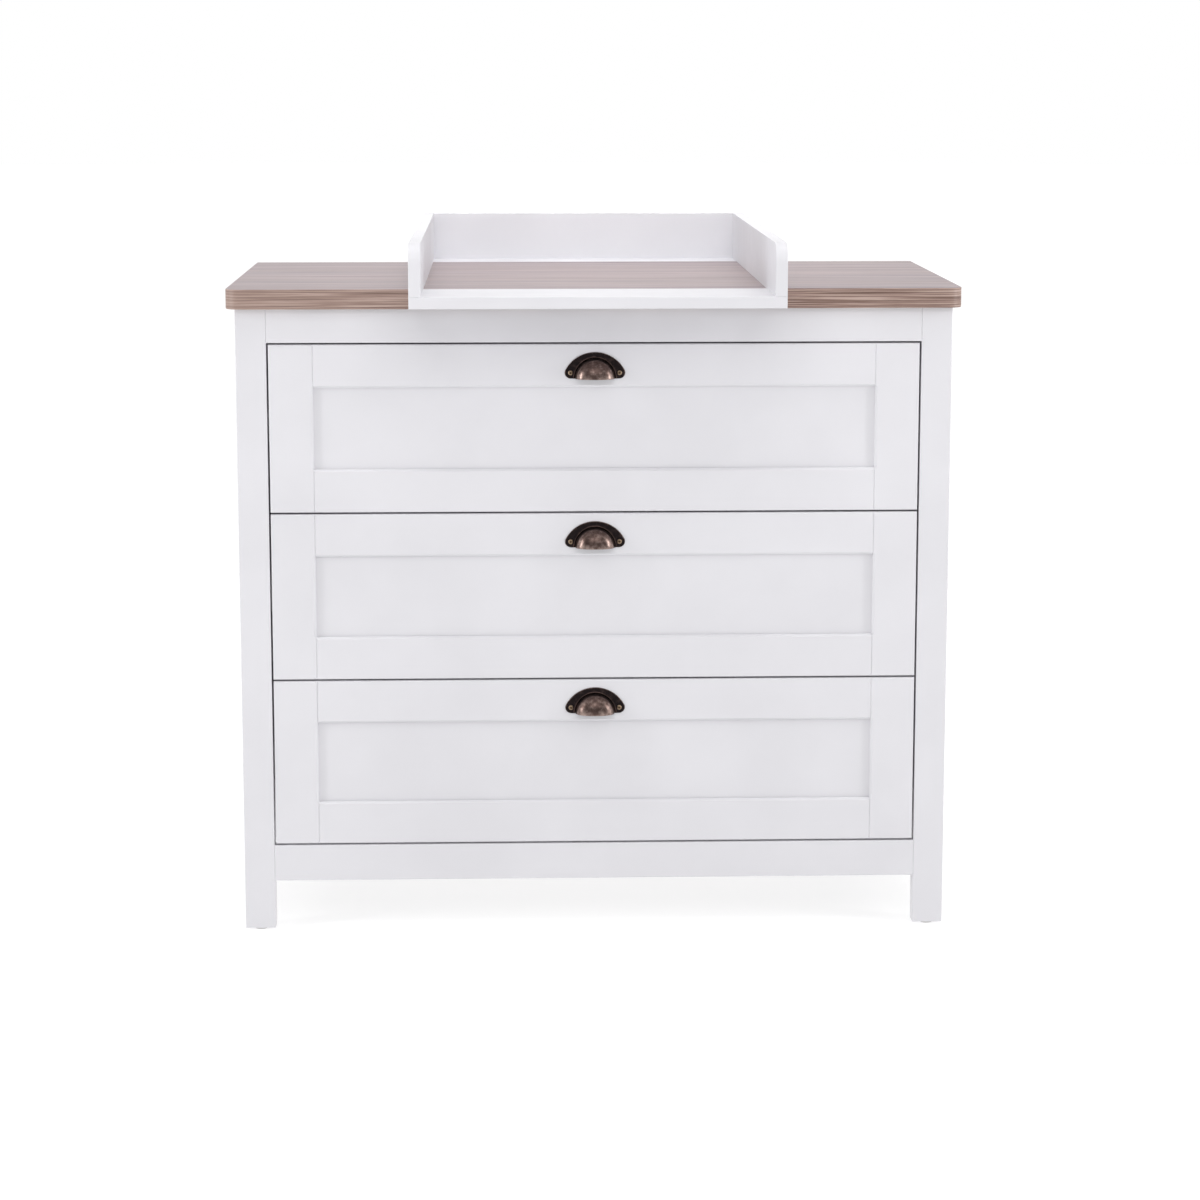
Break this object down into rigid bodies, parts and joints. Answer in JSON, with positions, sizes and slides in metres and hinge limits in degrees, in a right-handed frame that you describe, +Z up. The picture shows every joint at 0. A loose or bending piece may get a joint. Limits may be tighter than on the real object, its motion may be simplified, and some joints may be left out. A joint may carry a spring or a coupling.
{
  "type": "changing table",
  "caption": "White chest of wide drawers with panelled fronts and bronze cup pulls, a wood-decor worktop and a lift-off three-sided changing tray.",
  "frame": {"origin": "on the floor, under the middle of the whole piece with its tray", "axes": "+Z up, the drawers open towards -Y, +X to the right seen from the front"},
  "size_m": [1.03, 0.767, 0.995],
  "materials": {
    "white_lacquer": "satin white lacquer on board",
    "worktop_decor": "textured grey-brown wood decor",
    "handle_bronze": "antique bronze patina, rubbed on the high spots",
    "screw_brass": "aged brass",
    "runner_steel": "zinc-plated sheet",
    "zinc_steel": "zinc-plated",
    "dowel_beech": "plain",
    "glide_plastic": "moulded",
    "back_hardboard": "white-faced hardboard",
    "box_board": "white foil on board"
  },
  "bodies": {
    "cabinet": {"back_panel": "back_hardboard", "carcass_dowels": "dowel_beech", "carcass_screws": "zinc_steel", "foot_glides": "glide_plastic", "front_apron": "white_lacquer", "front_bottom_rail": "white_lacquer", "left_front_post": "white_lacquer", "left_rear_post": "white_lacquer", "left_side_panel": "white_lacquer", "rear_rails": "white_lacquer", "right_front_post": "white_lacquer", "right_rear_post": "white_lacquer", "right_side_panel": "white_lacquer", "runner_battens": "box_board", "runner_cabinet_members": "runner_steel", "worktop": "worktop_decor", "worktop_angles": "zinc_steel"},
    "top_drawer": {"top_drawer_box_back": "box_board", "top_drawer_box_bottom": "box_board", "top_drawer_box_front": "box_board", "top_drawer_box_sides": "box_board", "top_drawer_front_panel": "white_lacquer", "top_drawer_front_rails": "white_lacquer", "top_drawer_front_screws": "zinc_steel", "top_drawer_front_stiles": "white_lacquer", "top_drawer_handle": "handle_bronze", "top_drawer_handle_screws": "screw_brass", "top_drawer_runner_inner": "runner_steel"},
    "middle_drawer": {"middle_drawer_box_back": "box_board", "middle_drawer_box_bottom": "box_board", "middle_drawer_box_front": "box_board", "middle_drawer_box_sides": "box_board", "middle_drawer_front_panel": "white_lacquer", "middle_drawer_front_rails": "white_lacquer", "middle_drawer_front_screws": "zinc_steel", "middle_drawer_front_stiles": "white_lacquer", "middle_drawer_handle": "handle_bronze", "middle_drawer_handle_screws": "screw_brass", "middle_drawer_runner_inner": "runner_steel"},
    "bottom_drawer": {"bottom_drawer_box_back": "box_board", "bottom_drawer_box_bottom": "box_board", "bottom_drawer_box_front": "box_board", "bottom_drawer_box_sides": "box_board", "bottom_drawer_front_panel": "white_lacquer", "bottom_drawer_front_rails": "white_lacquer", "bottom_drawer_front_screws": "zinc_steel", "bottom_drawer_front_stiles": "white_lacquer", "bottom_drawer_handle": "handle_bronze", "bottom_drawer_handle_screws": "screw_brass", "bottom_drawer_runner_inner": "runner_steel"},
    "top_runner": {"top_drawer_runner_middle": "runner_steel"},
    "middle_runner": {"middle_drawer_runner_middle": "runner_steel"},
    "bottom_runner": {"bottom_drawer_runner_middle": "runner_steel"},
    "changing_tray": {"tray_back_panel": "white_lacquer", "tray_front_board": "white_lacquer", "tray_left_side": "white_lacquer", "tray_rear_board": "white_lacquer", "tray_right_side": "white_lacquer", "tray_screws": "zinc_steel"}
  },
  "joints": [
    {"name": "top_drawer_slide", "type": "slide", "parent": "cabinet", "child": "top_drawer", "axis": [0, -1, 0], "range_m": [0, 0.4]},
    {"name": "top_runner_slide", "type": "slide", "parent": "cabinet", "child": "top_runner", "axis": [0, -1, 0], "range_m": [0, 0.2]},
    {"name": "middle_drawer_slide", "type": "slide", "parent": "cabinet", "child": "middle_drawer", "axis": [0, -1, 0], "range_m": [0, 0.4]},
    {"name": "middle_runner_slide", "type": "slide", "parent": "cabinet", "child": "middle_runner", "axis": [0, -1, 0], "range_m": [0, 0.2]},
    {"name": "bottom_drawer_slide", "type": "slide", "parent": "cabinet", "child": "bottom_drawer", "axis": [0, -1, 0], "range_m": [0, 0.4]},
    {"name": "bottom_runner_slide", "type": "slide", "parent": "cabinet", "child": "bottom_runner", "axis": [0, -1, 0], "range_m": [0, 0.2]},
    {"name": "tray_lift", "type": "slide", "parent": "cabinet", "child": "changing_tray", "axis": [0, 0, 1], "range_m": [0, 0.12]}
  ],
  "couplings": [
    {"joint": "top_runner_slide", "follows": "top_drawer_slide", "ratio": 0.5},
    {"joint": "middle_runner_slide", "follows": "middle_drawer_slide", "ratio": 0.5},
    {"joint": "bottom_runner_slide", "follows": "bottom_drawer_slide", "ratio": 0.5}
  ]
}
